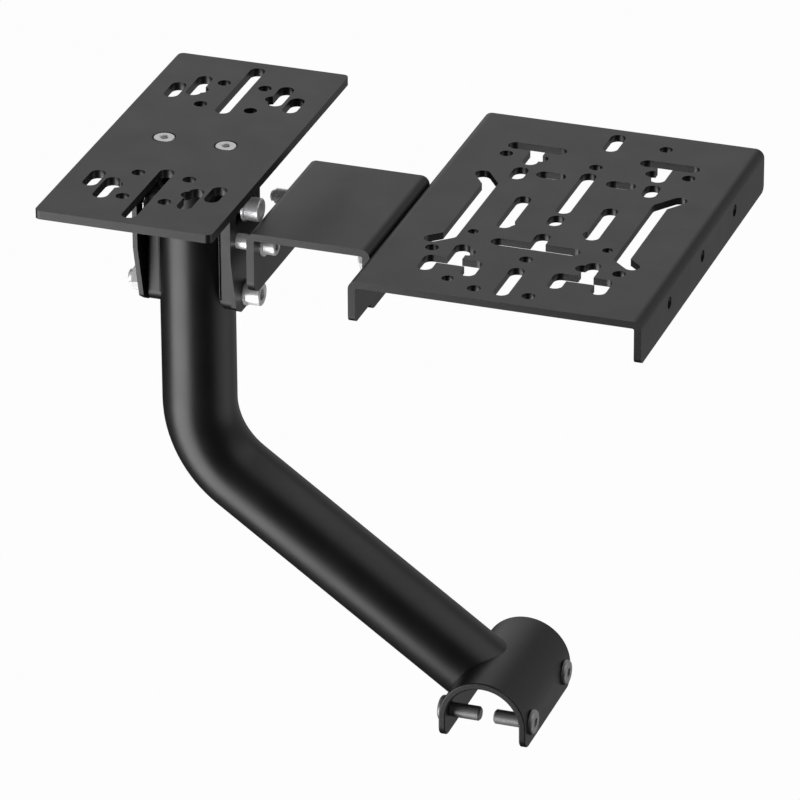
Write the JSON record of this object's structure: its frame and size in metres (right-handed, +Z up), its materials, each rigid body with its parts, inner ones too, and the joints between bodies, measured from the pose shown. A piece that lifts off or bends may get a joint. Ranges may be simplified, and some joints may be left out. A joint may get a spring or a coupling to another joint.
{
  "type": "shifter and handbrake mount",
  "caption": "Tilting shifter and handbrake mount: a bent tube arm with a rail saddle carries a slotted handbrake plate and, on a side link, a slotted shifter deck.",
  "frame": {"origin": "centre of the rail saddle's bore, midway along it", "axes": "+Y along the bore to the back, +Z up, +X to the shifter deck's side"},
  "size_m": [0.3949, 0.3389, 0.3926],
  "materials": {
    "powder_coat": "satin black powder coat",
    "bright_steel": "zinc plated",
    "dark_screw": "dark nickel"
  },
  "bodies": {
    "arm": {"arm_tube": "powder_coat", "saddle_clamp": "powder_coat", "lug_left": "powder_coat", "lug_right": "powder_coat", "clamp_screw_left_front": "dark_screw", "clamp_screw_left_rear": "dark_screw", "clamp_screw_right_front": "dark_screw", "clamp_screw_right_rear": "dark_screw", "pivot_bolt": "bright_steel", "pivot_nut": "bright_steel", "pivot_washer_left": "bright_steel", "pivot_washer_right": "bright_steel", "lock_bolt": "bright_steel", "lock_nut": "bright_steel", "lock_washer_left": "bright_steel", "lock_washer_right": "bright_steel"},
    "head": {"head_bracket": "powder_coat", "handbrake_plate": "powder_coat", "link_bracket": "powder_coat", "shifter_plate": "powder_coat", "plate_screw_left": "bright_steel", "plate_screw_right": "bright_steel", "plate_nut_left": "bright_steel", "plate_nut_right": "bright_steel", "link_screw_front": "bright_steel", "link_washer_front": "bright_steel", "link_spacer_front": "bright_steel", "deck_screw_front": "bright_steel", "deck_washer_front": "bright_steel", "deck_nut_front": "bright_steel", "link_screw_rear": "bright_steel", "link_washer_rear": "bright_steel", "link_spacer_rear": "bright_steel", "deck_screw_rear": "bright_steel", "deck_washer_rear": "bright_steel", "deck_nut_rear": "bright_steel"}
  },
  "joints": [
    {"name": "head_tilt", "type": "hinge", "parent": "arm", "child": "head", "pos_m": [-0.217, 0, 0.2715], "axis": [1, 0, 0], "range_deg": [-12, 12]}
  ]
}
